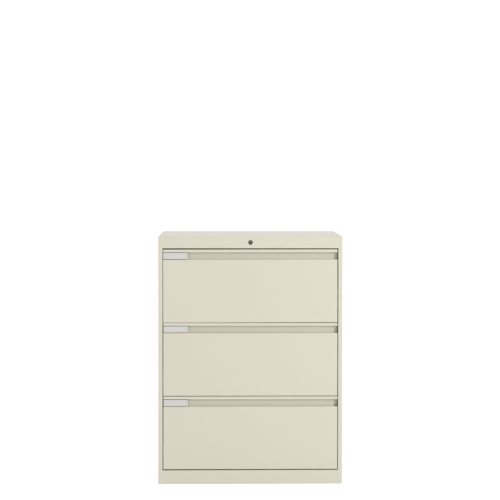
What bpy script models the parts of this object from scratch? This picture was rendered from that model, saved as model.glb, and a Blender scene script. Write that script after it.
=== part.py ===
"""A three-drawer lateral filing cabinet in painted sheet steel, as separate folded sheets and fittings.

It stands on the floor at z = 0, centred on x = 0 and y = 0. The drawers open towards -Y, and +X is the
right-hand side of someone who faces them. All sizes are in metres.
"""

import math

import bmesh
import bpy
from mathutils import Matrix, Vector

# Overall sizes. The height follows from the stack of rails and drawers.
WIDTH = 0.762
DEPTH = 0.457
DRAWER_COUNT = 3
DRAWER_PITCH = 0.3048

# The stack on the front, from the floor up.
FLOOR_CLEARANCE = 0.001
BASE_RAIL_HEIGHT = 0.0571
BASE_GAP = 0.004
DRAWER_GAP = 0.0025
HEADER_GAP = 0.0040
HEADER_HEIGHT = 0.050

# Sheet and clearances.
SHEET = 0.0010
FOLD_RADIUS = 0.0018
FOLD_STEPS = 2
TOUCH = 0.0003

# Case.
TOP_RADIUS = 0.004
TOP_RADIUS_STEPS = 5
STILE_WIDTH = 0.018
STILE_RETURN = 0.020
BACK_RETURN = 0.018
RAIL_RETURN = 0.016
BASE_PAN_HEIGHT = 0.020
BASE_PAN_FLANGE = 0.022
UPRIGHT_WIDTH = 0.030
FRONT_UPRIGHT_SETBACK = 0.037
REAR_UPRIGHT_SETBACK = 0.062
COUNTERWEIGHT_DEPTH = 0.130
COUNTERWEIGHT_HEIGHT = 0.024
COUNTERWEIGHT_SETBACK = 0.030
COUNTERWEIGHT_SIDE_ROOM = 0.075

# Levelling glides.
GLIDE_INSET = 0.050
GLIDE_FOOT_RADIUS = 0.017
GLIDE_FOOT_HEIGHT = 0.008
GLIDE_COLLAR_RADIUS = 0.009
GLIDE_STEM_RADIUS = 0.004
GLIDE_STEM_RISE = 0.014
GLIDE_HOLE_CLEARANCE = 0.0004

# Drawer front: a lip along the top, a finger pull under it and a flat face below.
SIDE_GAP = 0.003
FRONT_THICKNESS = 0.020
LIP_HEIGHT = 0.011
LIP_THICKNESS = 0.0032
PULL_ROOF = 0.0036
PULL_HEIGHT = 0.0305
PULL_BACK_ROOM = 0.003
PULL_END_NOTCH = 0.012

# Label holder in the left end of the pull.
HOLDER_WIDTH = 0.100
HOLDER_END_CLEARANCE = 0.0008
HOLDER_GAP = 0.0022
HOLDER_BORDER = 0.0024
HOLDER_POCKET = 0.0022
CARD_THICKNESS = 0.0006

# Drawer box.
TUB_FLOOR_RISE = 0.016
TUB_HEADROOM = 0.042
TUB_FLANGE = 0.012
FOLDER_RAIL_RISE = 0.014
FOLDER_RAIL_WIDTH = 0.012
FOLDER_RAIL_LIP = 0.009
FOLDER_SPACING = 0.312
REAR_CLEARANCE = 0.030

# Telescopic slides, one set on each side of each drawer.
SLIDE_SETBACK = 0.0025
SLIDE_WIDTH = 0.013
SLIDE_HEIGHT = 0.045
SLIDE_RISE = 0.060
SLIDE_WEB_ROOM = 0.0008
SLIDE_BALL_ROOM = 0.0026
SLIDE_STOP_LENGTH = 0.006
POCKET_ROOM = 0.0155

# Lock.
LOCK_DROP = 0.0255
LOCK_PROUD = 0.0015
LOCK_BEZEL_RADIUS = 0.0095
LOCK_BEZEL_THICKNESS = 0.0012
LOCK_BARREL_RADIUS = 0.0080
LOCK_BARREL_LENGTH = 0.0230
LOCK_PLUG_RADIUS = 0.0060
LOCK_RUNNING_CLEARANCE = 0.0003
LOCK_TAIL_RADIUS = 0.0035
LOCK_STEPS = 40
KEYWAY_WIDTH = 0.0015
KEYWAY_HEIGHT = 0.0070
KEYWAY_DEPTH = 0.0080
CAM_THROW = 0.0085
CAM_HUB_RADIUS = 0.0075
CAM_TIP_RADIUS = 0.0040
CAM_THICKNESS = 0.0020
LOCK_PIN_RADIUS = 0.0020
SLOT_CLEARANCE = 0.0006
LINK_HEIGHT = 0.024
LINK_LEFT_END = 0.018
LINK_TOP_ROOM = 0.008
BAR_WIDTH = 0.012
BAR_SIDE_ROOM = 0.0013
BAR_PIN_INSET = 0.0085
HOOK_HEIGHT = 0.012
HOOK_DROP = 0.002
CATCH_RISE = 0.110
CATCH_LENGTH = 0.010
CATCH_DEPTH = 0.002
CATCH_ROOM = 0.0015
HOOK_TIP_ROOM = 0.0035

# Places worked out from the sizes above.
HALF_WIDTH = WIDTH / 2
FRONT_Y = -DEPTH / 2 + LOCK_PROUD
BACK_Y = DEPTH / 2
BASE_RAIL_TOP = FLOOR_CLEARANCE + BASE_RAIL_HEIGHT
LOWEST_DRAWER_Z = BASE_RAIL_TOP + BASE_GAP
DRAWER_HEIGHT = DRAWER_PITCH - DRAWER_GAP
HEADER_BOTTOM = LOWEST_DRAWER_Z + DRAWER_COUNT * DRAWER_PITCH - DRAWER_GAP + HEADER_GAP
HEIGHT = HEADER_BOTTOM + HEADER_HEIGHT
TOP_SEAM_Z = HEIGHT - TOP_RADIUS - TOUCH
SIDE_BACK_Y = BACK_Y - SHEET - TOUCH
STILE_X = HALF_WIDTH - STILE_WIDTH
SIDE_INNER_X = HALF_WIDTH - SHEET - TOUCH
FRONT_HALF = STILE_X - SIDE_GAP
FRONT_BACK_Y = FRONT_Y + FRONT_THICKNESS
PULL_BOTTOM = LIP_HEIGHT + PULL_HEIGHT
PULL_DEPTH = FRONT_THICKNESS - 2 * SHEET - PULL_BACK_ROOM
SLIDE_X = SIDE_INNER_X - POCKET_ROOM
TUB_HALF = SLIDE_X - SLIDE_WIDTH
TUB_FRONT_Y = FRONT_BACK_Y + TOUCH
TUB_BACK_Y = BACK_Y - SHEET - REAR_CLEARANCE
SLIDE_START_Y = max(FRONT_BACK_Y, FRONT_Y + STILE_RETURN) + SLIDE_SETBACK
SLIDE_END_Y = TUB_BACK_Y
BASE_PAN_TOP = BASE_PAN_HEIGHT + SHEET
UPRIGHT_BOTTOM = BASE_PAN_HEIGHT + BASE_PAN_FLANGE + TOUCH
LOCK_Z = HEIGHT - LOCK_DROP
LOCK_BARREL_BACK_Y = FRONT_Y + SHEET + LOCK_BARREL_LENGTH
CAM_Y = LOCK_BARREL_BACK_Y + TOUCH
BAR_Y = CAM_Y
LINK_Y = CAM_Y + CAM_THICKNESS + TOUCH
LINK_END_Y = LINK_Y + CAM_THICKNESS
CAM_SWING = math.radians(90)
LOCK_TRAVEL = 2 * CAM_THROW * math.sin(CAM_SWING / 2)
LINK_TOP_Z = HEIGHT - SHEET - LINK_TOP_ROOM
LINK_BOTTOM_Z = LINK_TOP_Z - LINK_HEIGHT
BAR_OUTER_X = SIDE_INNER_X - BAR_SIDE_ROOM
BAR_INNER_X = BAR_OUTER_X - BAR_WIDTH
BAR_PIN_X = BAR_INNER_X - BAR_PIN_INSET
BAR_PIN_Z = LINK_BOTTOM_Z + (LINK_HEIGHT - LOCK_TRAVEL) / 2
HOOK_TIP_X = TUB_HALF + HOOK_TIP_ROOM


def clear_scene():
    for old in list(bpy.data.objects):
        bpy.data.objects.remove(old, do_unlink=True)


def make_material(name, colour, roughness, metallic):
    material = bpy.data.materials.new(name)
    material.use_nodes = True
    shader = material.node_tree.nodes["Principled BSDF"]
    shader.inputs["Base Color"].default_value = (*colour, 1.0)
    shader.inputs["Roughness"].default_value = roughness
    shader.inputs["Metallic"].default_value = metallic
    return material


def make_palette():
    """One entry for each finish: name, colour, roughness and metallic value."""
    finishes = (
        ("putty_paint", (0.72, 0.69, 0.57), 0.45, 0.0),
        ("zinc_steel", (0.62, 0.63, 0.64), 0.35, 1.0),
        ("black_lock", (0.03, 0.03, 0.03), 0.35, 0.6),
        ("lock_face", (0.14, 0.13, 0.12), 0.35, 0.8),
        ("grey_plastic", (0.67, 0.67, 0.64), 0.40, 0.0),
        ("card", (0.80, 0.80, 0.77), 0.80, 0.0),
        ("glide_rubber", (0.04, 0.04, 0.04), 0.70, 0.0),
        ("cast_iron", (0.10, 0.10, 0.10), 0.80, 0.4),
    )
    return {name: make_material(name, colour, rough, metal) for name, colour, rough, metal in finishes}


def add_object(name, mesh_builder, material=None):
    """Turns a bmesh into a named object; with no material it is a hidden helper for a Boolean."""
    bmesh.ops.recalc_face_normals(mesh_builder, faces=mesh_builder.faces)
    mesh = bpy.data.meshes.new(name)
    mesh_builder.to_mesh(mesh)
    mesh_builder.free()
    obj = bpy.data.objects.new(name, mesh)
    bpy.context.scene.collection.objects.link(obj)
    if material is None:
        obj.hide_render = True
        obj.display_type = "WIRE"
    else:
        mesh.materials.append(material)
    return obj


def combine(target, helper, operation):
    """Adds a helper to the target, or cuts it out, with an exact Boolean."""
    modifier = target.modifiers.new(helper.name, "BOOLEAN")
    modifier.operation = operation
    modifier.solver = "EXACT"
    modifier.object = helper


def prism(name, outline, axis, start, end, material=None):
    """A closed outline extruded along X, Y or Z. Its two numbers are the other two axes, in X, Y, Z order."""
    place = {
        "X": lambda a, b, c: (c, a, b),
        "Y": lambda a, b, c: (a, c, b),
        "Z": lambda a, b, c: (a, b, c),
    }[axis]
    builder = bmesh.new()
    near = [builder.verts.new(place(a, b, start)) for a, b in outline]
    far = [builder.verts.new(place(a, b, end)) for a, b in outline]
    builder.faces.new(near)
    builder.faces.new(far[::-1])
    count = len(outline)
    for index in range(count):
        following = (index + 1) % count
        builder.faces.new((near[index], far[index], far[following], near[following]))
    return add_object(name, builder, material)


def block(name, low, high, material=None):
    """A box between two opposite corners."""
    outline = [(low[0], low[1]), (high[0], low[1]), (high[0], high[1]), (low[0], high[1])]
    return prism(name, outline, "Z", low[2], high[2], material)


def arc(centre, radius, first, last, steps):
    """Points on a circle from one angle to another, in degrees."""
    angles = [math.radians(first + (last - first) * step / steps) for step in range(steps + 1)]
    return [(centre[0] + radius * math.cos(a), centre[1] + radius * math.sin(a)) for a in angles]


def with_folds(points, radii, steps=FOLD_STEPS):
    """Rounds each inner corner of a path with an arc of its own radius."""
    path = [Vector(points[0])]
    for index, radius in enumerate(radii, start=1):
        corner = Vector(points[index])
        arriving = (corner - Vector(points[index - 1])).normalized()
        leaving = (Vector(points[index + 1]) - corner).normalized()
        turn = arriving.angle_signed(leaving)
        reach = radius * math.tan(abs(turn) / 2)
        side = Vector((-arriving.y, arriving.x)) * (-1 if turn > 0 else 1)
        centre = corner - arriving * reach + side * radius
        spoke = corner - arriving * reach - centre
        for step in range(steps + 1):
            path.append(centre + Matrix.Rotation(-turn * step / steps, 2) @ spoke)
    path.append(Vector(points[-1]))
    return path


def offset_path(path, distance):
    """The same path moved to its left by a distance, with mitred corners."""
    moved = []
    for index, point in enumerate(path):
        sides = []
        for first, second in ((index - 1, index), (index, index + 1)):
            if first >= 0 and second < len(path):
                along = (path[second] - path[first]).normalized()
                sides.append(Vector((-along.y, along.x)))
        if len(sides) == 1:
            moved.append(point + sides[0] * distance)
        else:
            moved.append(point + (sides[0] + sides[1]) * distance / (1 + sides[0].dot(sides[1])))
    return moved


def folded_sheet(points, thickness=SHEET, radii=None):
    """The outline of a sheet folded along a path. The path is its outer face, and the sheet is on its left."""
    if radii is None:
        radii = [FOLD_RADIUS] * (len(points) - 2)
    path = with_folds(points, radii)
    return [tuple(point) for point in path + offset_path(path, thickness)[::-1]]


def mirrored(outline, side):
    """An outline drawn for the right-hand side, moved to the side given as 1 or -1."""
    return [(side * across, other) for across, other in outline]


def turned(name, profile, centre, axis, steps, material=None):
    """A profile of (radius, distance along the axis) points spun about the axis through the centre."""
    builder = bmesh.new()
    verts = [builder.verts.new((radius, 0, along)) for radius, along in profile]
    for first, second in zip(verts, verts[1:] + verts[:1]):
        if first.co.x > 0 or second.co.x > 0:
            builder.edges.new((first, second))
    bmesh.ops.spin(
        builder,
        geom=builder.verts[:] + builder.edges[:],
        cent=(0, 0, 0),
        axis=(0, 0, 1),
        angle=math.tau,
        steps=steps,
        use_merge=True,
    )
    bmesh.ops.remove_doubles(builder, verts=builder.verts, dist=1e-6)
    if axis == "Y":
        bmesh.ops.rotate(builder, cent=(0, 0, 0), matrix=Matrix.Rotation(math.radians(-90), 3, "X"), verts=builder.verts)
    bmesh.ops.translate(builder, vec=centre, verts=builder.verts)
    obj = add_object(name, builder, material)
    if material is not None:
        obj.data.shade_smooth()
        obj.data.set_sharp_from_angle(angle=math.radians(35))
    return obj


def rod(name, centre, radius, start, end, axis="Y", steps=LOCK_STEPS):
    """A plain round helper for a hole or a pin, between two places on its axis."""
    profile = [(0, start), (radius, start), (radius, end), (0, end)]
    return turned(name, profile, centre, axis, steps)


def set_origin(obj, point):
    """Moves an object's origin to a point and leaves its shape where it is."""
    obj.data.transform(Matrix.Translation(-Vector(point)))
    obj.location = point


def drawer_bottom(number):
    """The lower edge of a drawer front. Drawer 1 is the top one."""
    return LOWEST_DRAWER_Z + (DRAWER_COUNT - number) * DRAWER_PITCH


def side_panel(side, paint):
    """The side skin, with the front stile and the rear return folded from the same sheet."""
    points = [
        (STILE_X, FRONT_Y + STILE_RETURN),
        (STILE_X, FRONT_Y),
        (HALF_WIDTH, FRONT_Y),
        (HALF_WIDTH, SIDE_BACK_Y),
        (HALF_WIDTH - BACK_RETURN, SIDE_BACK_Y),
    ]
    name = "side_panel_right" if side > 0 else "side_panel_left"
    outline = mirrored(folded_sheet(points), side)
    prism(name, outline, "Z", FLOOR_CLEARANCE, TOP_SEAM_Z, paint)


def top_panel(paint):
    """The cap over the whole case, with a rolled front edge."""
    seam = HEIGHT - TOP_RADIUS
    path = with_folds(
        [(FRONT_Y, seam - TOUCH), (FRONT_Y, HEIGHT), (BACK_Y, HEIGHT), (BACK_Y, seam - TOUCH)],
        [TOP_RADIUS - TOUCH, FOLD_RADIUS],
        TOP_RADIUS_STEPS,
    )
    outer = [(y, max(z, seam)) for y, z in path]
    cap = prism("top_panel", outer, "X", -HALF_WIDTH, HALF_WIDTH, paint)
    inner = [tuple(point) for point in offset_path(path, -SHEET)]
    below = seam - SHEET
    inner[0] = (inner[0][0], below)
    inner[-1] = (inner[-1][0], below)
    hollow = prism("top_panel_hollow", inner, "X", -HALF_WIDTH + SHEET, HALF_WIDTH - SHEET)
    combine(cap, hollow, "DIFFERENCE")


def front_rail(name, bottom, top, paint):
    """A channel across the front, between the stiles, with both returns folded back."""
    points = [
        (FRONT_Y + RAIL_RETURN, top),
        (FRONT_Y, top),
        (FRONT_Y, bottom),
        (FRONT_Y + RAIL_RETURN, bottom),
    ]
    half = STILE_X - TOUCH
    return prism(name, folded_sheet(points), "X", -half, half, paint)


def header_rail(paint):
    """The top front rail, with the hole that the lock fits."""
    rail = front_rail("header_rail", HEADER_BOTTOM, TOP_SEAM_Z, paint)
    hole = rod(
        "header_lock_hole",
        (0, FRONT_Y, LOCK_Z),
        LOCK_BARREL_RADIUS + LOCK_RUNNING_CLEARANCE,
        -SHEET,
        2 * SHEET,
    )
    combine(rail, hole, "DIFFERENCE")


def base_pan(paint):
    """The tray that closes the bottom of the case, with a hole for each glide."""
    points = [
        (-SIDE_INNER_X, BASE_PAN_HEIGHT + BASE_PAN_FLANGE),
        (-SIDE_INNER_X, BASE_PAN_HEIGHT),
        (SIDE_INNER_X, BASE_PAN_HEIGHT),
        (SIDE_INNER_X, BASE_PAN_HEIGHT + BASE_PAN_FLANGE),
    ]
    start = FRONT_Y + STILE_RETURN + TOUCH
    end = SIDE_BACK_Y - SHEET - TOUCH
    pan = prism("base_pan", folded_sheet(points), "Y", start, end, paint)
    for name, x, y in glide_places():
        radius = GLIDE_STEM_RADIUS + GLIDE_HOLE_CLEARANCE
        hole = rod(f"{name}_hole", (x, y, BASE_PAN_HEIGHT), radius, -SHEET, 2 * SHEET, "Z", 20)
        combine(pan, hole, "DIFFERENCE")


def back_panel(paint):
    """The flat sheet across the whole back."""
    low = (-HALF_WIDTH, BACK_Y - SHEET, FLOOR_CLEARANCE)
    high = (HALF_WIDTH, BACK_Y, TOP_SEAM_Z)
    block("back_panel", low, high, paint)


def counterweight(iron):
    """The slab on the base pan that keeps the case from tipping when a loaded drawer is out."""
    half = HALF_WIDTH - COUNTERWEIGHT_SIDE_ROOM
    rear = SIDE_BACK_Y - COUNTERWEIGHT_SETBACK
    bottom = BASE_PAN_TOP + TOUCH
    low = (-half, rear - COUNTERWEIGHT_DEPTH, bottom)
    high = (half, rear, bottom + COUNTERWEIGHT_HEIGHT)
    block("counterweight", low, high, iron)


def glide_places():
    """Name, x and y of each levelling glide."""
    places = []
    for end, y in (("front", FRONT_Y + GLIDE_INSET), ("rear", BACK_Y - GLIDE_INSET)):
        for side, x in (("left", -HALF_WIDTH + GLIDE_INSET), ("right", HALF_WIDTH - GLIDE_INSET)):
            places.append((f"glide_{end}_{side}", x, y))
    return places


def glides(rubber):
    """Four screw feet: a disc on the floor, a collar under the base pan and a stem through it."""
    collar_top = BASE_PAN_HEIGHT - TOUCH
    profile = [
        (0, 0),
        (GLIDE_FOOT_RADIUS, 0),
        (GLIDE_FOOT_RADIUS, GLIDE_FOOT_HEIGHT / 2),
        (GLIDE_COLLAR_RADIUS, GLIDE_FOOT_HEIGHT),
        (GLIDE_COLLAR_RADIUS, collar_top),
        (GLIDE_STEM_RADIUS, collar_top),
        (GLIDE_STEM_RADIUS, collar_top + GLIDE_STEM_RISE),
        (0, collar_top + GLIDE_STEM_RISE),
    ]
    for name, x, y in glide_places():
        turned(name, profile, (x, y, 0), "Z", 20, rubber)


def uprights(paint):
    """Four channels behind the side skins that carry the slides."""
    web = SLIDE_X + TOUCH
    rows = (
        ("front", FRONT_Y + FRONT_UPRIGHT_SETBACK),
        ("rear", BACK_Y - REAR_UPRIGHT_SETBACK - UPRIGHT_WIDTH),
    )
    for end, start in rows:
        points = [
            (SIDE_INNER_X, start + UPRIGHT_WIDTH),
            (web, start + UPRIGHT_WIDTH),
            (web, start),
            (SIDE_INNER_X, start),
        ]
        for side_name, side in (("left", -1), ("right", 1)):
            outline = mirrored(folded_sheet(points), side)
            prism(f"upright_{end}_{side_name}", outline, "Z", UPRIGHT_BOTTOM, TOP_SEAM_Z, paint)


def channel(name, side, open_x, web_x, centre_z, height, span, steel):
    """A slide member: a channel along Y with its web at one side and its flanges reaching to open_x."""
    half = height / 2
    flanges = (-half, half) if web_x > open_x else (half, -half)
    points = [
        (open_x, centre_z + flanges[0]),
        (web_x, centre_z + flanges[0]),
        (web_x, centre_z + flanges[1]),
        (open_x, centre_z + flanges[1]),
    ]
    prism(name, mirrored(folded_sheet(points), side), "Y", *span, steel)


def slides(number, steel):
    """The three nested members on each side of a drawer: case, middle and drawer member."""
    centre_z = drawer_bottom(number) + TUB_FLOOR_RISE + SLIDE_RISE
    middle_height = SLIDE_HEIGHT - 2 * (SHEET + SLIDE_BALL_ROOM)
    inner_height = middle_height - 2 * (SHEET + SLIDE_BALL_ROOM)
    middle_x = SLIDE_X - SHEET - SLIDE_WEB_ROOM
    inner_x = TUB_HALF + TOUCH
    inner_open_x = middle_x - SHEET - SLIDE_WEB_ROOM
    open_x = TUB_HALF + 2 * SLIDE_WEB_ROOM
    span = (SLIDE_START_Y, SLIDE_END_Y)
    middle_span = (SLIDE_START_Y, SLIDE_END_Y - SLIDE_STOP_LENGTH)
    for side_name, side in (("left", -1), ("right", 1)):
        names = [f"slide_{member}_{number}_{side_name}" for member in ("outer", "middle", "inner")]
        channel(names[0], side, open_x, SLIDE_X, centre_z, SLIDE_HEIGHT, span, steel)
        channel(names[1], side, open_x, middle_x, centre_z, middle_height, middle_span, steel)
        channel(names[2], side, inner_open_x, inner_x, centre_z, inner_height, span, steel)


def drawer_front(number, paint):
    """The front skin, rolled from one sheet: top, lip, finger pull, face, bottom return and folded ends."""
    bottom = drawer_bottom(number)
    top = bottom + DRAWER_HEIGHT
    points = [
        (FRONT_BACK_Y, top),
        (FRONT_Y, top),
        (FRONT_Y, top - LIP_HEIGHT),
        (FRONT_Y + LIP_THICKNESS, top - LIP_HEIGHT),
        (FRONT_Y + LIP_THICKNESS, top - PULL_ROOF),
        (FRONT_Y + PULL_DEPTH, top - PULL_ROOF),
        (FRONT_Y + PULL_DEPTH, top - PULL_BOTTOM),
        (FRONT_Y, top - PULL_BOTTOM),
        (FRONT_Y, bottom),
        (FRONT_BACK_Y, bottom),
    ]
    hem = LIP_THICKNESS / 2 - TOUCH
    radii = [FOLD_RADIUS, hem, hem, FOLD_RADIUS, FOLD_RADIUS, FOLD_RADIUS, FOLD_RADIUS, FOLD_RADIUS]
    outline = folded_sheet(points, radii=radii)
    front = prism(f"drawer_{number}_front", outline, "X", -FRONT_HALF, FRONT_HALF, paint)
    for side_name, side in (("left", -1), ("right", 1)):
        edges = sorted((side * (FRONT_HALF - SHEET), side * FRONT_HALF))
        low = (edges[0], FRONT_Y + SHEET / 2, bottom + SHEET / 2)
        high = (edges[1], FRONT_BACK_Y - SHEET - TOUCH, top - PULL_BOTTOM - SHEET / 2)
        combine(front, block(f"drawer_{number}_end_{side_name}", low, high), "UNION")
        edges = sorted((side * (FRONT_HALF - PULL_END_NOTCH), side * (FRONT_HALF + PULL_END_NOTCH)))
        low = (edges[0], FRONT_Y + LIP_THICKNESS + TOUCH, top - PULL_BOTTOM - 2 * SHEET)
        high = (edges[1], FRONT_Y + PULL_DEPTH + 2 * SHEET, top - PULL_ROOF / 2)
        notch = block(f"drawer_{number}_pull_end_{side_name}", low, high)
        combine(front, notch, "DIFFERENCE")


def drawer_liner(number, paint):
    """The inner panel that closes the back of a drawer front."""
    bottom = drawer_bottom(number) + SHEET + TOUCH
    top = drawer_bottom(number) + DRAWER_HEIGHT - SHEET - TOUCH
    low = (-FRONT_HALF, FRONT_BACK_Y - SHEET, bottom)
    high = (FRONT_HALF, FRONT_BACK_Y, top)
    block(f"drawer_{number}_liner", low, high, paint)


def label_holder(number, plastic, card):
    """The plastic holder clipped into the left end of the pull, and the card in its pocket."""
    top = drawer_bottom(number) + DRAWER_HEIGHT
    left = -FRONT_HALF + HOLDER_END_CLEARANCE
    low = Vector((left, FRONT_Y + TOUCH, top - PULL_BOTTOM + HOLDER_GAP))
    back = FRONT_Y + PULL_DEPTH - FOLD_RADIUS
    high = Vector((left + HOLDER_WIDTH, back, top - LIP_HEIGHT - HOLDER_GAP))
    border = Vector((HOLDER_BORDER, 0, HOLDER_BORDER))
    pocket_back = low.y + HOLDER_POCKET
    pocket_low = low + border - Vector((0, SHEET, 0))
    pocket_high = Vector((high.x, pocket_back, high.z)) - border
    holder = block(f"drawer_{number}_label_holder", low, high, plastic)
    pocket = block(f"drawer_{number}_label_pocket", pocket_low, pocket_high)
    combine(holder, pocket, "DIFFERENCE")
    card_low = low + border + Vector((TOUCH, HOLDER_POCKET - TOUCH - CARD_THICKNESS, TOUCH))
    card_high = Vector((pocket_high.x - TOUCH, pocket_back - TOUCH, pocket_high.z - TOUCH))
    block(f"drawer_{number}_label_card", card_low, card_high, card)


def drawer_tub(number, paint):
    """The floor and both sides of the drawer box in one sheet, with the lock's catch on the right."""
    floor = drawer_bottom(number) + TUB_FLOOR_RISE
    top = drawer_bottom(number) + DRAWER_HEIGHT - TUB_HEADROOM
    points = [
        (-TUB_HALF + TUB_FLANGE, top),
        (-TUB_HALF, top),
        (-TUB_HALF, floor),
        (TUB_HALF, floor),
        (TUB_HALF, top),
        (TUB_HALF - TUB_FLANGE, top),
    ]
    back = TUB_BACK_Y - SHEET - TOUCH
    tub = prism(f"drawer_{number}_tub", folded_sheet(points), "Y", TUB_FRONT_Y, back, paint)
    low = (TUB_HALF - SHEET / 2, BAR_Y + CAM_THICKNESS + CATCH_ROOM, floor + CATCH_RISE)
    high = (TUB_HALF + CATCH_LENGTH, low[1] + CATCH_DEPTH, floor + CATCH_RISE + HOOK_HEIGHT)
    catch = block(f"drawer_{number}_catch", low, high)
    combine(tub, catch, "UNION")


def drawer_back(number, paint):
    """The rear wall of the drawer box, with the rear folder rail folded along its top."""
    floor = drawer_bottom(number) + TUB_FLOOR_RISE
    rail = drawer_bottom(number) + DRAWER_HEIGHT - TUB_HEADROOM + FOLDER_RAIL_RISE
    points = [
        (TUB_BACK_Y, floor),
        (TUB_BACK_Y, rail),
        (TUB_BACK_Y - FOLDER_RAIL_WIDTH, rail),
        (TUB_BACK_Y - FOLDER_RAIL_WIDTH, rail - FOLDER_RAIL_LIP),
    ]
    prism(f"drawer_{number}_back", folded_sheet(points), "X", -TUB_HALF, TUB_HALF, paint)


def file_bar(number, steel):
    """The loose channel that rests on the tub's flanges and carries the front ends of hanging folders."""
    seat = drawer_bottom(number) + DRAWER_HEIGHT - TUB_HEADROOM + TOUCH
    rail = seat - TOUCH + FOLDER_RAIL_RISE
    far = TUB_BACK_Y - FOLDER_SPACING
    near = far - FOLDER_RAIL_WIDTH
    points = [(far, seat), (far, rail), (near, rail), (near, seat)]
    half = TUB_HALF - SHEET - TOUCH
    prism(f"drawer_{number}_file_bar", folded_sheet(points), "X", -half, half, steel)


def lock_housing(finish):
    """The barrel behind the header, with its bezel in front."""
    bore = LOCK_PLUG_RADIUS + LOCK_RUNNING_CLEARANCE
    face = -LOCK_PROUD
    shoulder = -TOUCH
    back = LOCK_BARREL_BACK_Y - FRONT_Y
    profile = [
        (bore, face),
        (LOCK_BEZEL_RADIUS - LOCK_BEZEL_THICKNESS / 2, face),
        (LOCK_BEZEL_RADIUS, face + LOCK_BEZEL_THICKNESS / 2),
        (LOCK_BEZEL_RADIUS, shoulder),
        (LOCK_BARREL_RADIUS, shoulder),
        (LOCK_BARREL_RADIUS, back),
        (bore, back),
    ]
    turned("lock_housing", profile, (0, FRONT_Y, LOCK_Z), "Y", LOCK_STEPS, finish)


def lock_plug(finish):
    """The turning core: a face with a keyway, and a tail that carries the cam."""
    face = -LOCK_PROUD + TOUCH
    back = LOCK_BARREL_BACK_Y - FRONT_Y
    tail_end = CAM_Y + CAM_THICKNESS - FRONT_Y
    profile = [
        (0, face),
        (LOCK_PLUG_RADIUS, face),
        (LOCK_PLUG_RADIUS, back),
        (LOCK_TAIL_RADIUS, back),
        (LOCK_TAIL_RADIUS, tail_end),
        (0, tail_end),
    ]
    plug = turned("lock_plug", profile, (0, FRONT_Y, LOCK_Z), "Y", LOCK_STEPS, finish)
    low = (-KEYWAY_WIDTH / 2, FRONT_Y - 2 * LOCK_PROUD, LOCK_Z - KEYWAY_HEIGHT / 2)
    high = (KEYWAY_WIDTH / 2, FRONT_Y + face + KEYWAY_DEPTH, LOCK_Z + KEYWAY_HEIGHT / 2)
    keyway = block("lock_keyway", low, high)
    combine(plug, keyway, "DIFFERENCE")
    set_origin(plug, (0, FRONT_Y, LOCK_Z))


def cam_pin_place():
    """Where the cam's pin is with the lock open: up and to the left of the core."""
    angle = math.radians(90) + CAM_SWING / 2
    return CAM_THROW * math.cos(angle), LOCK_Z + CAM_THROW * math.sin(angle)


def lock_cam(steel):
    """The arm on the core's tail, with a pin that drives the link."""
    pin_x, pin_z = cam_pin_place()
    lean = math.degrees(CAM_SWING) / 2
    squeeze = math.degrees(math.asin((CAM_HUB_RADIUS - CAM_TIP_RADIUS) / CAM_THROW))
    outline = arc((0, LOCK_Z), CAM_HUB_RADIUS, 180 + lean - squeeze, 360 + lean + squeeze, 14)
    outline += arc((pin_x, pin_z), CAM_TIP_RADIUS, lean + squeeze, 180 + lean - squeeze, 8)
    cam = prism("lock_cam", outline, "Y", CAM_Y, CAM_Y + CAM_THICKNESS, steel)
    tail = LOCK_TAIL_RADIUS + LOCK_RUNNING_CLEARANCE
    hole = rod("lock_cam_hole", (0, CAM_Y, LOCK_Z), tail, -CAM_THICKNESS, 2 * CAM_THICKNESS)
    pin_end = LINK_END_Y + CAM_THICKNESS / 2 - CAM_Y
    pin = rod("lock_cam_pin", (pin_x, CAM_Y, pin_z), LOCK_PIN_RADIUS, CAM_THICKNESS / 2, pin_end, steps=20)
    combine(cam, hole, "DIFFERENCE")
    combine(cam, pin, "UNION")
    set_origin(cam, (0, CAM_Y, LOCK_Z))


def slot(name, first, second, radius):
    """A helper with round ends for a slot between two points in X and Z."""
    lean = math.degrees(math.atan2(second[1] - first[1], second[0] - first[0]))
    outline = arc(second, radius, lean - 90, lean + 90, 8) + arc(first, radius, lean + 90, lean + 270, 8)
    return prism(name, outline, "Y", LINK_Y - CAM_THICKNESS, LINK_END_Y + CAM_THICKNESS)


def lock_link(steel):
    """The flat bar behind the header. The cam slides it along X, and its ramp lifts the lock bar."""
    pin_x, pin_z = cam_pin_place()
    right = BAR_PIN_X + 2 * LOCK_PIN_RADIUS
    low = (pin_x - LINK_LEFT_END, LINK_Y, LINK_BOTTOM_Z)
    link = block("lock_link", low, (right, LINK_END_Y, LINK_TOP_Z), steel)
    radius = LOCK_PIN_RADIUS + SLOT_CLEARANCE
    crown = LOCK_Z + CAM_THROW
    cam_slot = slot("lock_link_cam_slot", (pin_x, pin_z), (pin_x, crown), radius)
    ramp_end = (BAR_PIN_X - LOCK_TRAVEL, BAR_PIN_Z + LOCK_TRAVEL)
    ramp = slot("lock_link_ramp", (BAR_PIN_X, BAR_PIN_Z), ramp_end, radius)
    combine(link, cam_slot, "DIFFERENCE")
    combine(link, ramp, "DIFFERENCE")


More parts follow.
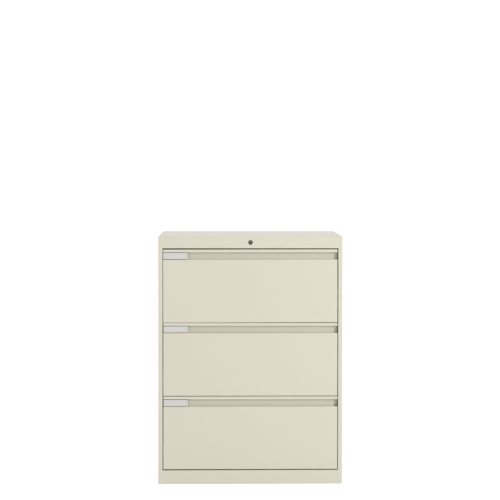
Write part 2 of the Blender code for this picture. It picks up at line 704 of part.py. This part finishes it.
def lock_bar(steel):
    """The upright bar behind the right stile, with an arm to the link's ramp and a hook for each drawer."""
    arm_half = LOCK_PIN_RADIUS + 2 * SLOT_CLEARANCE + LOCK_PIN_RADIUS / 2
    arm_top = BAR_PIN_Z + arm_half
    arm_bottom = BAR_PIN_Z - arm_half
    arm_tip = BAR_PIN_X - arm_half
    outline = [(BAR_OUTER_X, arm_top), (arm_tip, arm_top), (arm_tip, arm_bottom), (BAR_INNER_X, arm_bottom)]
    for number in range(1, DRAWER_COUNT + 1):
        hook_top = drawer_bottom(number) + TUB_FLOOR_RISE + CATCH_RISE - HOOK_DROP
        hook_bottom = hook_top - HOOK_HEIGHT
        outline += [(BAR_INNER_X, hook_top), (HOOK_TIP_X, hook_top), (HOOK_TIP_X, hook_bottom)]
        outline += [(BAR_INNER_X, hook_bottom)]
    foot = outline[-1][1] - HOOK_HEIGHT
    outline += [(BAR_INNER_X, foot), (BAR_OUTER_X, foot)]
    bar = prism("lock_bar", outline, "Y", BAR_Y, BAR_Y + CAM_THICKNESS, steel)
    pin_start = CAM_THICKNESS / 2
    pin_end = LINK_END_Y + CAM_THICKNESS / 2 - BAR_Y
    pin = rod("lock_bar_pin", (BAR_PIN_X, BAR_Y, BAR_PIN_Z), LOCK_PIN_RADIUS, pin_start, pin_end, steps=20)
    combine(bar, pin, "UNION")


def build_case(palette):
    paint = palette["putty_paint"]
    side_panel(-1, paint)
    side_panel(1, paint)
    top_panel(paint)
    header_rail(paint)
    front_rail("base_rail", FLOOR_CLEARANCE, BASE_RAIL_TOP, paint)
    base_pan(paint)
    back_panel(paint)
    uprights(paint)
    counterweight(palette["cast_iron"])
    glides(palette["glide_rubber"])


def build_lock(palette):
    lock_housing(palette["black_lock"])
    lock_plug(palette["lock_face"])
    lock_cam(palette["zinc_steel"])
    lock_link(palette["zinc_steel"])
    lock_bar(palette["zinc_steel"])


def build_drawer(number, palette):
    paint = palette["putty_paint"]
    drawer_front(number, paint)
    drawer_liner(number, paint)
    label_holder(number, palette["grey_plastic"], palette["card"])
    drawer_tub(number, paint)
    drawer_back(number, paint)
    file_bar(number, palette["zinc_steel"])
    slides(number, palette["zinc_steel"])


def main():
    clear_scene()
    palette = make_palette()
    build_case(palette)
    build_lock(palette)
    for number in range(1, DRAWER_COUNT + 1):
        build_drawer(number, palette)


main()
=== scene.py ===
"""The looks of the three-drawer lateral filing cabinet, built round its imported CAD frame.

The painted sheets of the front, sides and top, the label holders with their cards and the lock are made
here again, with rounder bends and broken edges. The back and the pieces inside the case keep their CAD
solids under better materials. All sizes are in metres, the drawers open towards -Y, and places come from
the boxes of the frame's nodes.
"""

import math

import bmesh
import bpy
from mathutils import Matrix, Vector


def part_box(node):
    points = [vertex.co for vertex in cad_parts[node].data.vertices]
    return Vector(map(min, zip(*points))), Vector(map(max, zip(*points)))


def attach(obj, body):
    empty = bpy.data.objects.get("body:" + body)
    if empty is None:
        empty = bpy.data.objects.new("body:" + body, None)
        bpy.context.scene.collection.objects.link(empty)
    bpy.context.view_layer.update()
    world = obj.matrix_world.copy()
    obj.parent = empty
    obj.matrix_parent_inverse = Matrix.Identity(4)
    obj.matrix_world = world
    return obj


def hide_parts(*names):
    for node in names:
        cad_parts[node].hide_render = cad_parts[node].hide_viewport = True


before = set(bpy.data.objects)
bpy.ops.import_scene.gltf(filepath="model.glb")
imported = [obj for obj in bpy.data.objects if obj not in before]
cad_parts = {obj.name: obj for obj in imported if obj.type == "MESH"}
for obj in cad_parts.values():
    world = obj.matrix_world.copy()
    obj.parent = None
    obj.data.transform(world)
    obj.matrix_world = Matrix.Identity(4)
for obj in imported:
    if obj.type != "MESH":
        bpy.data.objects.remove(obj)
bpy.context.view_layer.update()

DRAWERS = (1, 2, 3)
SIDES = (("left", -1), ("right", 1))

# Camera and studio.
CAMERA_PLACE = (-0.1008, -5.4196, 1.3000)
CAMERA_YAW = math.radians(-1.084)
CAMERA_PITCH = math.radians(-1.289)
CAMERA_ROLL = math.radians(-0.067)
CAMERA_LENS = 90.72
CAMERA_SHIFT_Y = -0.1026
FLOOR_HALF = 30.0
FLOOR_THICKNESS = 0.05
WORLD_STRENGTH = 1.03
FLOOR_GLOW = 0.48
FLOOR_PALE = (0.72, 0.72, 0.72)

# Each square area light: its name, its place, what it faces, its side and its power in watts.
LIGHTS = (
    ("key", (2.4, -2.9, 2.2), (0, -0.2, 0.6), 1.2, 50),
    ("overhead", (0.7, -1.9, 3.4), (0, -0.2, 0.9), 0.9, 13),
)

# Sheet metal. TOUCH is the room that the CAD leaves between joined sheets.
SHEET = 0.0010
TOUCH = 0.0003
CLOSED_SEAM = 0.00003
FOLD_RADIUS = 0.0018
FOLD_STEPS = 7
TOP_RADIUS = 0.004
TOP_STEPS = 12
STILE_RETURN = 0.020
BACK_RETURN = 0.018
RAIL_RETURN = 0.016

# Edges. Bends sharper than the angle are bevelled and keep a crease.
SHARP_ANGLE = math.radians(40)
BROKEN_EDGE = 0.00018
CLOSED_EDGE = 0.00004
CAP_EDGE = 0.0005
IRON_EDGE = 0.0012
BEZEL_EDGE = 0.00008
PLUG_EDGE = 0.00012
WELD_REACH = 0.00001

# Drawer front. The lip hangs 0.8 mm lower than the CAD's.
LIP_HEIGHT = 0.0118
LIP_THICKNESS = 0.0032
PULL_ROOF = 0.0036
PULL_BOTTOM = 0.0415
PULL_DEPTH = 0.015
PULL_SCOOP = 0.005
PULL_EDGE = 0.003
PULL_END_NOTCH = 0.012

# How each drawer front hangs: its shift to the right, its rise, and its turn about Y in radians.
HANG = {1: (-0.0006, -0.0005, -0.0013), 2: (0.0, 0.0002, 0.0006), 3: (0.0003, 0.0002, 0.0006)}

# Label holder. Its top edge sits 1 mm lower than the CAD's.
HOLDER_BORDER = 0.0024
HOLDER_LIP = 0.0011
HOLDER_LIP_DEPTH = 0.0010
HOLDER_POCKET = 0.0022
HOLDER_CORNER = 0.0016
HOLDER_EDGE = 0.00035
HOLDER_DROP = 0.0010
CARD_THICKNESS = 0.0006
CARD_CORNER = 0.0010

# Lock.
LOCK_RADIUS = 0.0092
LOCK_BORE = 0.0063
PLUG_RADIUS = 0.0060
PLUG_TAIL = 0.0035
BARREL_RADIUS = 0.0080
KEYWAY = (0.0015, 0.0080, 0.0070)
LOCK_STEPS = 96

# Linear colours, as red, green and blue.
PUTTY = (0.475, 0.457, 0.377)
ZINC = (0.60, 0.61, 0.62)
ZINC_COLD = (0.58, 0.60, 0.63)
ZINC_WARM = (0.64, 0.63, 0.60)
BLACK_NICKEL = (0.020, 0.019, 0.018)
PLUG_METAL = (0.130, 0.122, 0.112)
HOLDER_GREY = (0.505, 0.505, 0.487)
CARD_WHITE = (0.470, 0.461, 0.444)
GLIDE_BLACK = (0.03, 0.03, 0.03)
IRON_DARK = (0.09, 0.088, 0.085)
IRON_SCALE = (0.06, 0.057, 0.055)
IRON_RUST = (0.13, 0.12, 0.11)

# The mix node's sockets for two colours and their blend, which share their names with its other sockets.
MIX_FIRST = 6
MIX_SECOND = 7
MIX_RESULT = 2


class Surface:
    """A material under construction: its shader, and short calls for the nodes that feed it."""

    def __init__(self, name, colour, roughness, metallic=0.0):
        self.material = bpy.data.materials.new(name)
        self.material.use_nodes = True
        self.tree = self.material.node_tree
        self.shader = self.tree.nodes["Principled BSDF"]
        self.shader.inputs["Base Color"].default_value = (*colour, 1)
        self.shader.inputs["Roughness"].default_value = roughness
        self.shader.inputs["Metallic"].default_value = metallic
        self.place = self.tree.nodes.new("ShaderNodeTexCoord").outputs["Object"]
        self.normal = None

    def stretched(self, scale):
        """Object coordinates scaled along each axis."""
        node = self.tree.nodes.new("ShaderNodeMapping")
        node.inputs["Scale"].default_value = scale
        self.tree.links.new(self.place, node.inputs["Vector"])
        return node.outputs["Vector"]

    def noise(self, scale, detail=2.0, place=None):
        """A noise with its number of waves in a metre and its layers of finer detail."""
        node = self.tree.nodes.new("ShaderNodeTexNoise")
        node.inputs["Scale"].default_value = scale
        node.inputs["Detail"].default_value = detail
        self.tree.links.new(place or self.place, node.inputs["Vector"])
        return node.outputs["Fac"]

    def between(self, value, low, high, start=0.3, end=0.7):
        """A value between two limits, taken from a noise that mostly runs from start to end."""
        node = self.tree.nodes.new("ShaderNodeMapRange")
        node.inputs["From Min"].default_value = start
        node.inputs["From Max"].default_value = end
        node.inputs["To Min"].default_value = low
        node.inputs["To Max"].default_value = high
        self.tree.links.new(value, node.inputs["Value"])
        return node.outputs["Result"]

    def blend(self, factor, first, second):
        """A colour between two, each a plain colour or another node's output."""
        node = self.tree.nodes.new("ShaderNodeMix")
        node.data_type = "RGBA"
        self.tree.links.new(factor, node.inputs["Factor"])
        for index, colour in ((MIX_FIRST, first), (MIX_SECOND, second)):
            socket = node.inputs[index]
            if isinstance(colour, tuple):
                socket.default_value = (*colour, 1)
            else:
                self.tree.links.new(colour, socket)
        return node.outputs[MIX_RESULT]

    def bump(self, height, depth, strength=1.0):
        """Adds a bump on top of those already there. Depth is in metres."""
        node = self.tree.nodes.new("ShaderNodeBump")
        node.inputs["Distance"].default_value = depth
        node.inputs["Strength"].default_value = strength
        self.tree.links.new(height, node.inputs["Height"])
        if self.normal is not None:
            self.tree.links.new(self.normal, node.inputs["Normal"])
        self.normal = node.outputs["Normal"]
        self.tree.links.new(self.normal, self.shader.inputs["Normal"])

    def feed(self, socket, output):
        """Lets a node's output drive one of the shader's sockets."""
        self.tree.links.new(output, self.shader.inputs[socket])


def shade(colour, factor):
    """The same colour, made darker or lighter."""
    return tuple(channel * factor for channel in colour)


def powder_coat():
    """Putty powder coat: an even satin film with an orange-peel skin over slightly uneven sheet."""
    surface = Surface("powder_coat", PUTTY, 0.33)
    drift = surface.between(surface.noise(1.7, 3), 0, 1)
    tone = surface.blend(drift, shade(PUTTY, 0.988), shade(PUTTY, 1.010))
    fleck = surface.between(surface.noise(2600, 2), 0, 1, 0.35, 0.65)
    surface.feed("Base Color", surface.blend(fleck, tone, PUTTY))
    surface.feed("Roughness", surface.between(surface.noise(38, 4), 0.30, 0.37))
    surface.bump(surface.noise(4.2, 2), 0.0006, 0.25)
    surface.bump(surface.noise(620, 3), 0.00006, 0.5)
    return surface.material


def zinc_plate(name, grain):
    """Bright zinc plate, rolled along one axis, with a faint cold and warm drift in its tone."""
    surface = Surface(name, ZINC, 0.34, 1.0)
    streaks = surface.noise(1, 4, surface.stretched(grain))
    drift = surface.between(surface.noise(14, 3), 0, 1)
    surface.feed("Base Color", surface.blend(drift, ZINC_COLD, ZINC_WARM))
    surface.feed("Roughness", surface.between(streaks, 0.26, 0.44))
    surface.bump(streaks, 0.00002, 0.6)
    return surface.material


def black_nickel():
    """Dark, hard plating with a faint ripple."""
    surface = Surface("black_nickel", BLACK_NICKEL, 0.22, 1.0)
    surface.feed("Roughness", surface.between(surface.noise(900, 3), 0.17, 0.30))
    surface.bump(surface.noise(1500, 2), 0.00001, 0.4)
    return surface.material


def plug_metal():
    """Satin metal, ground in one direction across the lock's face."""
    surface = Surface("plug_metal", PLUG_METAL, 0.36, 1.0)
    ground = surface.noise(1, 3, surface.stretched((9000, 300, 300)))
    tone = surface.between(ground, 0, 1)
    surface.feed("Base Color", surface.blend(tone, shade(PLUG_METAL, 0.78), shade(PLUG_METAL, 1.22)))
    surface.feed("Roughness", surface.between(ground, 0.28, 0.45))
    surface.bump(ground, 0.00001, 0.5)
    return surface.material


def moulded_grey():
    """Light grey moulded plastic with a fine spark-eroded grain."""
    surface = Surface("moulded_grey", HOLDER_GREY, 0.46)
    drift = surface.between(surface.noise(30, 2), 0, 1)
    surface.feed("Base Color", surface.blend(drift, shade(HOLDER_GREY, 0.98), shade(HOLDER_GREY, 1.02)))
    surface.feed("Roughness", surface.between(surface.noise(1800, 3), 0.40, 0.54))
    surface.bump(surface.noise(2400, 3), 0.00003, 0.5)
    return surface.material


def paper_card():
    """Blank index card: short fibres in the sheet and a soft, dry surface."""
    surface = Surface("paper_card", CARD_WHITE, 0.85)
    fibres = surface.noise(1, 5, surface.stretched((900, 900, 2600)))
    tone = surface.between(fibres, 0, 1)
    surface.feed("Base Color", surface.blend(tone, shade(CARD_WHITE, 0.965), CARD_WHITE))
    surface.bump(fibres, 0.00003, 0.4)
    return surface.material


def black_nylon():
    """Black nylon with a dull, uneven skin."""
    surface = Surface("black_nylon", GLIDE_BLACK, 0.5)
    surface.feed("Roughness", surface.between(surface.noise(700, 3), 0.42, 0.60))
    surface.bump(surface.noise(1300, 2), 0.00004, 0.5)
    return surface.material


def raw_iron():
    """The rough black skin of a cast slab."""
    surface = Surface("raw_iron", IRON_DARK, 0.7, 0.6)
    patches = surface.between(surface.noise(60, 5), 0, 1)
    surface.feed("Base Color", surface.blend(patches, IRON_SCALE, IRON_RUST))
    surface.bump(surface.noise(220, 6), 0.0006, 0.7)
    return surface.material


def studio_floor_material():
    """A pale, seamless light table with a barely visible tooth."""
    surface = Surface("studio_floor", FLOOR_PALE, 0.9)
    surface.shader.inputs["Emission Color"].default_value = (1, 1, 1, 1)
    surface.shader.inputs["Emission Strength"].default_value = FLOOR_GLOW
    surface.feed("Roughness", surface.between(surface.noise(60, 3), 0.85, 0.95))
    surface.bump(surface.noise(240, 2), 0.0001, 0.2)
    return surface.material


def rounded_path(points, radii, steps):
    """A path with an arc of its own radius at each inner corner."""
    path = [Vector(points[0])]
    for index, radius in enumerate(radii, start=1):
        corner = Vector(points[index])
        arriving = (corner - Vector(points[index - 1])).normalized()
        leaving = (Vector(points[index + 1]) - corner).normalized()
        turn = arriving.angle_signed(leaving)
        reach = radius * math.tan(abs(turn) / 2)
        side = Vector((-arriving.y, arriving.x)) * (-1 if turn > 0 else 1)
        centre = corner - arriving * reach + side * radius
        spoke = corner - arriving * reach - centre
        for step in range(steps + 1):
            path.append(centre + Matrix.Rotation(-turn * step / steps, 2) @ spoke)
    path.append(Vector(points[-1]))
    return path


def beside(path, distance):
    """The same path moved to its left by a distance, with mitred corners."""
    moved = []
    for index, point in enumerate(path):
        sides = []
        for first, second in ((index - 1, index), (index, index + 1)):
            if first >= 0 and second < len(path):
                along = (path[second] - path[first]).normalized()
                sides.append(Vector((-along.y, along.x)))
        if len(sides) == 1:
            moved.append(point + sides[0] * distance)
        else:
            moved.append(point + (sides[0] + sides[1]) * distance / (1 + sides[0].dot(sides[1])))
    return moved


def rolled_sheet(points, radii=None):
    """The outline of a sheet folded along its outer face, a path with the sheet on its left."""
    path = rounded_path(points, radii or [FOLD_RADIUS] * (len(points) - 2), FOLD_STEPS)
    return path + beside(path, SHEET)[::-1]


def new_object(name, builder):
    """Makes a mesh object from a bmesh, with its faces turned outwards."""
    bmesh.ops.recalc_face_normals(builder, faces=builder.faces)
    mesh = bpy.data.meshes.new(name)
    builder.to_mesh(mesh)
    builder.free()
    obj = bpy.data.objects.new(name, mesh)
    bpy.context.scene.collection.objects.link(obj)
    return obj


def extruded(name, outline, axis, start, end):
    """A closed outline drawn out along X, Y or Z. Its points give the other two axes, in X, Y, Z order."""
    place = {
        "X": lambda a, b, c: (c, a, b),
        "Y": lambda a, b, c: (a, c, b),
        "Z": lambda a, b, c: (a, b, c),
    }[axis]
    builder = bmesh.new()
    near = [builder.verts.new(place(a, b, start)) for a, b in outline]
    far = [builder.verts.new(place(a, b, end)) for a, b in outline]
    builder.faces.new(near)
    builder.faces.new(far[::-1])
    for index in range(len(outline)):
        following = (index + 1) % len(outline)
        builder.faces.new((near[index], far[index], far[following], near[following]))
    return new_object(name, builder)


def box_between(name, low, high):
    """A box between two opposite corners."""
    outline = [(low[0], low[1]), (high[0], low[1]), (high[0], high[1]), (low[0], high[1])]
    return extruded(name, outline, "Z", low[2], high[2])


def rounded_plate(name, low, high, radius):
    """A plate that faces -Y, with its four corners rounded."""
    middle = (low[0] + high[0]) / 2
    points = [(middle, low[2]), (low[0], low[2]), (low[0], high[2]), (high[0], high[2]), (high[0], low[2])]
    points.append(points[0])
    path = rounded_path(points, [radius] * 4, FOLD_STEPS)
    return extruded(name, path[:-1], "Y", low[1], high[1])


def turned(name, profile, centre):
    """A profile of (radius, distance towards +Y) points spun about an axis along Y through the centre."""
    builder = bmesh.new()
    rings = []
    for radius, along in profile:
        if radius == 0:
            rings.append([builder.verts.new((0, along, 0))])
            continue
        turns = [math.tau * step / LOCK_STEPS for step in range(LOCK_STEPS)]
        rings.append([builder.verts.new((radius * math.cos(a), along, radius * math.sin(a))) for a in turns])
    closed = profile[0][0] > 0
    pairs = list(zip(rings, rings[1:])) + ([(rings[-1], rings[0])] if closed else [])
    for first, second in pairs:
        for index in range(LOCK_STEPS):
            corners = [
                first[index % len(first)],
                first[(index + 1) % len(first)],
                second[(index + 1) % len(second)],
                second[index % len(second)],
            ]
            builder.faces.new(list(dict.fromkeys(corners)))
    bmesh.ops.translate(builder, vec=centre, verts=builder.verts)
    return new_object(name, builder)


def carve(target, helper, operation="DIFFERENCE"):
    """Cuts a helper out of the target, or adds it, for good, and removes the helper."""
    modifier = target.modifiers.new("carve", "BOOLEAN")
    modifier.operation = operation
    modifier.solver = "EXACT"
    modifier.object = helper
    carved = bpy.data.meshes.new_from_object(target.evaluated_get(bpy.context.evaluated_depsgraph_get()))
    target.modifiers.remove(modifier)
    target.data = carved
    bpy.data.objects.remove(helper)


def break_edges(obj, width=BROKEN_EDGE, segments=2):
    """Rounds the sharp edges a little and shades the rest smoothly."""
    bevel = obj.modifiers.new("broken_edges", "BEVEL")
    bevel.width = width
    bevel.segments = segments
    bevel.limit_method = "ANGLE"
    bevel.angle_limit = SHARP_ANGLE
    bevel.harden_normals = True
    obj.data.shade_smooth()
    obj.data.set_sharp_from_angle(angle=SHARP_ANGLE)


def finish_piece(obj, material, slot, body, *nodes):
    """Gives a new piece its material and body, and hides the CAD nodes that it stands for."""
    obj.data.materials.clear()
    obj.data.materials.append(material)
    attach(obj, body)
    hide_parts(*nodes)


def build_side(side_name, side, paint):
    """A side skin with its front stile and rear return, folded from one sheet."""
    node = f"side_panel_{side_name}"
    low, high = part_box(node)
    outer = side * max(abs(low.x), abs(high.x))
    stile = side * min(abs(low.x), abs(high.x))
    points = [
        (side * stile, low.y + STILE_RETURN),
        (side * stile, low.y),
        (side * outer, low.y),
        (side * outer, high.y),
        (side * outer - BACK_RETURN, high.y),
    ]
    outline = [(side * across, along) for across, along in rolled_sheet(points)]
    skin = extruded(f"case_side_{side_name}", outline, "Z", low.z, high.z + TOUCH - CLOSED_SEAM)
    break_edges(skin)
    finish_piece(skin, paint, "paint", "case", node)


def build_top(paint):
    """The cap, with a rolled front edge and a tight fold at the back."""
    low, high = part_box("top_panel")
    seam = high.z - TOP_RADIUS
    points = [(low.y, seam - TOUCH), (low.y, high.z), (high.y, high.z), (high.y, seam - TOUCH)]
    path = rounded_path(points, [TOP_RADIUS - TOUCH, FOLD_RADIUS], TOP_STEPS)
    outer = [(y, max(z, seam)) for y, z in path]
    cap = extruded("case_top", outer, "X", low.x, high.x)
    inner = [tuple(point) for point in beside(path, -SHEET)]
    below = seam - SHEET
    inner[0] = (inner[0][0], below)
    inner[-1] = (inner[-1][0], below)
    carve(cap, extruded("cap_hollow", inner, "X", low.x + SHEET, high.x - SHEET))
    break_edges(cap, CAP_EDGE, 3)
    finish_piece(cap, paint, "paint", "case", "top_panel")


def build_rail(name, node, top_rise):
    """A front channel welded to the stiles, with the grooves of the stiles' folds filled flush."""
    low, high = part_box(node)
    top = high.z + top_rise
    points = [(low.y + RAIL_RETURN, top), (low.y, top), (low.y, low.z), (low.y + RAIL_RETURN, low.z)]
    half = high.x + TOUCH
    rail = extruded(name, rolled_sheet(points), "X", -half, half)
    for _, side in SIDES:
        groove = [
            (side * (half - TOUCH), low.y),
            (side * (half + FOLD_RADIUS), low.y),
            (side * half, low.y + FOLD_RADIUS),
            (side * (half - TOUCH), low.y + FOLD_RADIUS),
        ]
        carve(rail, extruded("end_seam", groove, "Z", low.z + FOLD_RADIUS, top - FOLD_RADIUS), "UNION")
    return rail


def build_rails(paint):
    """The header with its lock hole, closed up to the cap, and the base rail."""
    low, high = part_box("header_rail")
    rise = TOUCH - CLOSED_SEAM
    header = build_rail("case_header", "header_rail", rise)
    top = high.z + rise
    half = high.x + TOUCH + FOLD_RADIUS
    groove = [(low.y, top - FOLD_RADIUS - TOUCH), (low.y, top), (low.y + FOLD_RADIUS + TOUCH, top)]
    carve(header, extruded("top_seam", groove, "X", -half, half), "UNION")
    hole = [(0, -SHEET), (BARREL_RADIUS, -SHEET), (BARREL_RADIUS, 3 * SHEET), (0, 3 * SHEET)]
    carve(header, turned("lock_hole", hole, lock_centre()))
    break_edges(header, CLOSED_EDGE)
    finish_piece(header, paint, "paint", "case", "header_rail")
    base = build_rail("case_base_rail", "base_rail", 0)
    break_edges(base, CLOSED_EDGE)
    finish_piece(base, paint, "paint", "case", "base_rail")


def lock_centre():
    """The middle of the lock, on the front plane."""
    low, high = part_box("lock_housing")
    middle = (low + high) / 2
    return Vector((middle.x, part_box("header_rail")[0].y, middle.z))


def hang(obj, number):
    """Sets a piece of a drawer front a little out of true, as the real drawers hang."""
    shift, rise, turn = HANG[number]
    low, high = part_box(f"drawer_{number}_front")
    middle = (low + high) / 2
    place = Matrix.Translation(middle + Vector((shift, 0, rise))) @ Matrix.Rotation(turn, 4, "Y")
    obj.data.transform(place @ Matrix.Translation(-middle))


def build_front(number, paint):
    """A drawer's front skin: rolled lip, finger pull, face, bottom return and folded ends."""
    node = f"drawer_{number}_front"
    low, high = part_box(node)
    face, back, bottom, top = low.y, high.y, low.z, high.z
    points = [
        (back, top),
        (face, top),
        (face, top - LIP_HEIGHT),
        (face + LIP_THICKNESS, top - LIP_HEIGHT),
        (face + LIP_THICKNESS, top - PULL_ROOF),
        (face + PULL_DEPTH, top - PULL_ROOF),
        (face + PULL_DEPTH, top - PULL_BOTTOM),
        (face, top - PULL_BOTTOM),
        (face, bottom),
        (back, bottom),
    ]
    hem = LIP_THICKNESS / 2 - TOUCH
    radii = [FOLD_RADIUS, hem, hem, FOLD_RADIUS, FOLD_RADIUS, PULL_SCOOP, PULL_EDGE, FOLD_RADIUS]
    skin = extruded(f"drawer_skin_{number}", rolled_sheet(points, radii), "X", low.x, high.x)
    for _, side in SIDES:
        edges = sorted((side * (high.x - SHEET), side * high.x))
        flange_low = (edges[0], face + SHEET / 2, bottom + SHEET / 2)
        flange_high = (edges[1], back - SHEET - TOUCH, top - PULL_BOTTOM - SHEET / 2)
        carve(skin, box_between("end_flange", flange_low, flange_high), "UNION")
        edges = sorted((side * (high.x - PULL_END_NOTCH), side * (high.x + PULL_END_NOTCH)))
        notch_low = (edges[0], face + LIP_THICKNESS + TOUCH, top - PULL_BOTTOM - 2 * SHEET)
        notch_high = (edges[1], face + PULL_DEPTH + 2 * SHEET, top - PULL_ROOF / 2)
        carve(skin, box_between("end_notch", notch_low, notch_high))
    hang(skin, number)
    break_edges(skin)
    finish_piece(skin, paint, "paint", f"drawer_{number}", node)


def build_holder(number, plastic, paper):
    """A label holder, moulded with a lipped window, and the card behind its lips."""
    node = f"drawer_{number}_label_holder"
    low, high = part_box(node)
    high.z -= HOLDER_DROP
    holder = rounded_plate(f"label_frame_{number}", low, high, HOLDER_CORNER)
    inset = Vector((HOLDER_BORDER, 0, HOLDER_BORDER))
    slot_low = Vector((low.x, low.y + HOLDER_LIP_DEPTH, low.z)) + inset
    slot_high = Vector((high.x, low.y + HOLDER_POCKET, high.z)) - inset
    carve(holder, rounded_plate("card_slot", slot_low, slot_high, HOLDER_CORNER / 2))
    lip = Vector((HOLDER_LIP, 0, HOLDER_LIP))
    window_low = slot_low + lip - Vector((0, 2 * HOLDER_LIP_DEPTH, 0))
    carve(holder, rounded_plate("window", window_low, slot_high - lip, HOLDER_CORNER))
    hang(holder, number)
    break_edges(holder, HOLDER_EDGE, 3)
    finish_piece(holder, plastic, "holder", f"drawer_{number}", node)
    room = Vector((TOUCH, TOUCH / 2, TOUCH))
    card_low = Vector((slot_low.x, slot_high.y - CARD_THICKNESS, slot_low.z))
    card_low += Vector((TOUCH, -TOUCH / 2, TOUCH))
    card = rounded_plate(f"label_card_{number}", card_low, slot_high - room, CARD_CORNER)
    hang(card, number)
    break_edges(card, CLOSED_EDGE)
    finish_piece(card, paper, "card", f"drawer_{number}", f"drawer_{number}_label_card")


def build_lock(bezel_metal, plug_finish):
    """The lock: a barrel with a domed bezel, and a plug with a keyway."""
    centre = lock_centre()
    low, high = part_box("lock_housing")
    proud = low.y - centre.y
    barrel_back = high.y - centre.y
    dome = proud + TOUCH
    bezel = [
        (LOCK_BORE, proud + 2 * TOUCH),
        (LOCK_BORE + TOUCH, proud + TOUCH),
        (LOCK_BORE + 3 * TOUCH, proud),
        (LOCK_RADIUS - 5 * TOUCH, proud),
        (LOCK_RADIUS - 3 * TOUCH, proud + TOUCH / 2),
        (LOCK_RADIUS - TOUCH, dome + TOUCH / 2),
        (LOCK_RADIUS, dome + 2 * TOUCH),
        (LOCK_RADIUS, -TOUCH),
        (BARREL_RADIUS - TOUCH, -TOUCH),
        (BARREL_RADIUS - TOUCH, barrel_back),
        (LOCK_BORE, barrel_back),
    ]
    housing = turned("lock_bezel", bezel, centre)
    break_edges(housing, BEZEL_EDGE)
    finish_piece(housing, bezel_metal, "lock_black", "case", "lock_housing")
    low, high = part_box("lock_plug")
    face = low.y - centre.y
    tail_end = high.y - centre.y
    core = [
        (0, face),
        (PLUG_RADIUS - 2 * TOUCH, face),
        (PLUG_RADIUS - TOUCH, face + TOUCH / 3),
        (PLUG_RADIUS, face + TOUCH),
        (PLUG_RADIUS, barrel_back),
        (PLUG_TAIL, barrel_back),
        (PLUG_TAIL, tail_end),
        (0, tail_end),
    ]
    plug = turned("lock_core_face", core, centre)
    width, depth, height = KEYWAY
    keyway_low = centre + Vector((-width / 2, face - depth / 2, -height / 2))
    keyway_high = centre + Vector((width / 2, face + depth, height / 2))
    carve(plug, box_between("keyway", keyway_low, keyway_high))
    break_edges(plug, PLUG_EDGE)
    finish_piece(plug, plug_finish, "lock_face", "lock_core", "lock_plug")


def dress(node, material, edge=BROKEN_EDGE):
    """Gives a CAD node that stays in view its material and softer edges."""
    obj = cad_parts[node]
    for slot in obj.material_slots:
        slot.material = material
    weld = obj.modifiers.new("weld", "WELD")
    weld.merge_threshold = WELD_REACH
    bevel = obj.modifiers.new("broken_edges", "BEVEL")
    bevel.width = edge
    bevel.segments = 2
    bevel.limit_method = "ANGLE"
    bevel.angle_limit = SHARP_ANGLE


def dress_hidden_nodes(paint, iron, nylon):
    """Dresses every CAD node that isn't made again here."""
    lengthwise = zinc_plate("zinc_lengthwise", (2200, 40, 2200))
    crosswise = zinc_plate("zinc_crosswise", (40, 2200, 2200))
    upright = zinc_plate("zinc_upright", (2200, 2200, 40))
    for node in ("back_panel", "base_pan"):
        dress(node, paint)
    for end in ("front", "rear"):
        for side_name, _ in SIDES:
            dress(f"upright_{end}_{side_name}", paint)
            dress(f"glide_{end}_{side_name}", nylon)
    dress("counterweight", iron, IRON_EDGE)
    dress("lock_cam", crosswise)
    dress("lock_link", crosswise)
    dress("lock_bar", upright)
    for number in DRAWERS:
        for name in ("liner", "tub", "back"):
            dress(f"drawer_{number}_{name}", paint)
        dress(f"drawer_{number}_file_bar", crosswise)
        for member in ("outer", "middle", "inner"):
            for side_name, _ in SIDES:
                dress(f"slide_{member}_{number}_{side_name}", lengthwise)


def build_studio():
    """A pale floor, an even white surround, a key light from the front right and a soft one overhead."""
    floor_low = (-FLOOR_HALF, -FLOOR_HALF, -FLOOR_THICKNESS)
    floor = box_between("studio_floor", floor_low, (FLOOR_HALF, FLOOR_HALF, 0))
    floor.data.materials.append(studio_floor_material())
    world = bpy.data.worlds.new("studio")
    world.use_nodes = True
    backdrop = world.node_tree.nodes["Background"]
    backdrop.inputs["Color"].default_value = (1, 1, 1, 1)
    backdrop.inputs["Strength"].default_value = WORLD_STRENGTH
    bpy.context.scene.world = world
    for name, place, target, size, power in LIGHTS:
        data = bpy.data.lights.new(name, "AREA")
        data.shape = "SQUARE"
        data.size = size
        data.energy = power
        lamp = bpy.data.objects.new(name, data)
        lamp.location = place
        lamp.rotation_euler = (Vector(target) - Vector(place)).to_track_quat("-Z", "Y").to_euler()
        bpy.context.scene.collection.objects.link(lamp)
    bpy.context.scene.view_settings.view_transform = "Standard"


def build_camera():
    """A camera a little above the cabinet's top, shifted down to keep the uprights upright."""
    data = bpy.data.cameras.new("camera")
    data.lens = CAMERA_LENS
    data.shift_y = CAMERA_SHIFT_Y
    camera = bpy.data.objects.new("camera", data)
    turn = Matrix.Rotation(CAMERA_YAW, 4, "Z") @ Matrix.Rotation(CAMERA_PITCH, 4, "X")
    turn = turn @ Matrix.Rotation(CAMERA_ROLL, 4, "Y") @ Matrix.Rotation(math.radians(90), 4, "X")
    camera.matrix_world = Matrix.Translation(CAMERA_PLACE) @ turn
    bpy.context.scene.collection.objects.link(camera)
    bpy.context.scene.camera = camera


def main():
    build_camera()
    build_studio()
    paint = powder_coat()
    for side_name, side in SIDES:
        build_side(side_name, side, paint)
    build_top(paint)
    build_rails(paint)
    build_lock(black_nickel(), plug_metal())
    plastic = moulded_grey()
    paper = paper_card()
    for number in DRAWERS:
        build_front(number, paint)
        build_holder(number, plastic, paper)
    dress_hidden_nodes(paint, raw_iron(), black_nylon())


main()
